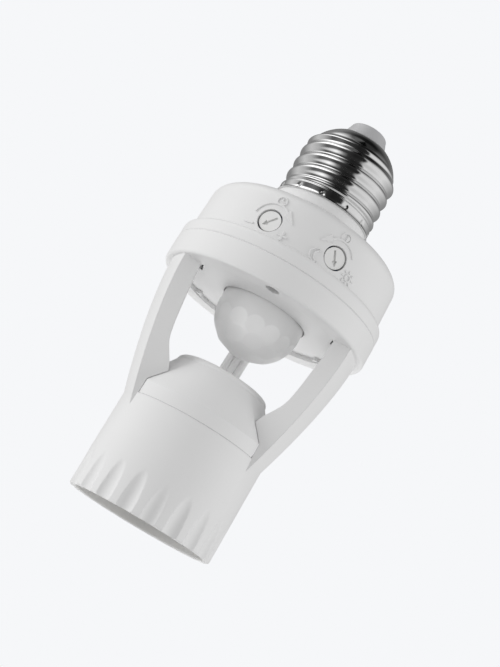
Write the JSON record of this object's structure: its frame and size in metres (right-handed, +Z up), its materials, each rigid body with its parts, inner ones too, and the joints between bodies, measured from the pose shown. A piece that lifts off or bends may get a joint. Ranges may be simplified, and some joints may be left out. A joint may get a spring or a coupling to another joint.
{
  "type": "motion sensor lamp holder",
  "caption": "Screw-in lamp holder with a motion sensor: threaded cap, round sensor housing with domed lens and knobs, fluted lamp sleeve on two arms.",
  "frame": {"origin": "centre of the lamp sleeve's open mouth, in the plane of its rim", "axes": "+Z up the axis towards the screw cap, -Y the front with the two setting knobs, the arms along X"},
  "size_m": [0.0562, 0.0562, 0.1168],
  "materials": {
    "housing": "white, fine satin grain from the mould",
    "lens": "milky, slightly translucent",
    "plated_shell": "bright nickel plate on rolled sheet",
    "insulator": "grey, smooth",
    "tin": "solder-tinned",
    "knob": "white, satin",
    "trimmer": "blue, satin",
    "board": "green solder mask",
    "can": "drawn, satin",
    "clear_resin": "clear, smooth",
    "relay_case": "blue, smooth",
    "film": "ochre, smooth",
    "sleeve_film": "dark shrink film",
    "dark_resin": "matt",
    "green_lacquer": "lacquered",
    "disc_lacquer": "lacquered",
    "screw_steel": "zinc plated",
    "heat_resin": "ivory, heat-resistant, matt",
    "socket_metal": "plated, satin",
    "spring_metal": "spring bronze, satin",
    "terminal_metal": "satin",
    "white_insulation": "white, smooth",
    "red_insulation": "red, smooth",
    "blue_insulation": "blue, smooth"
  },
  "bodies": {
    "holder": {"lower_housing": "housing", "upper_housing": "housing", "socket_cover": "housing", "lens_dome": "lens", "cap_shell": "plated_shell", "cap_insulator": "insulator", "cap_contact": "tin", "time_trimmer": "trimmer", "lux_trimmer": "trimmer", "circuit_board": "board", "pir_sensor": "can", "light_sensor": "clear_resin", "relay": "relay_case", "film_capacitor": "film", "electrolytic_capacitor": "sleeve_film", "control_chip": "dark_resin", "fuse_resistor": "green_lacquer", "varistor": "disc_lacquer", "housing_screws": "screw_steel", "socket_base": "heat_resin", "socket_shell": "socket_metal", "centre_contact": "spring_metal", "centre_terminal": "terminal_metal", "shell_terminals": "terminal_metal", "socket_rivets": "screw_steel", "wire_left": "white_insulation", "wire_middle": "white_insulation", "wire_right": "white_insulation", "live_lead": "red_insulation", "neutral_lead": "blue_insulation"},
    "time_setting": {"time_knob": "knob"},
    "light_setting": {"lux_knob": "knob"}
  },
  "joints": [
    {"name": "time_turn", "type": "hinge", "parent": "holder", "child": "time_setting", "pos_m": [-0.00801, -0.02262, 0.0735], "axis": [-0.3338, -0.9426, 0], "range_deg": [-285, 5]},
    {"name": "light_turn", "type": "hinge", "parent": "holder", "child": "light_setting", "pos_m": [0.00801, -0.02262, 0.0735], "axis": [0.3338, -0.9426, 0], "range_deg": [-5, 285]}
  ]
}
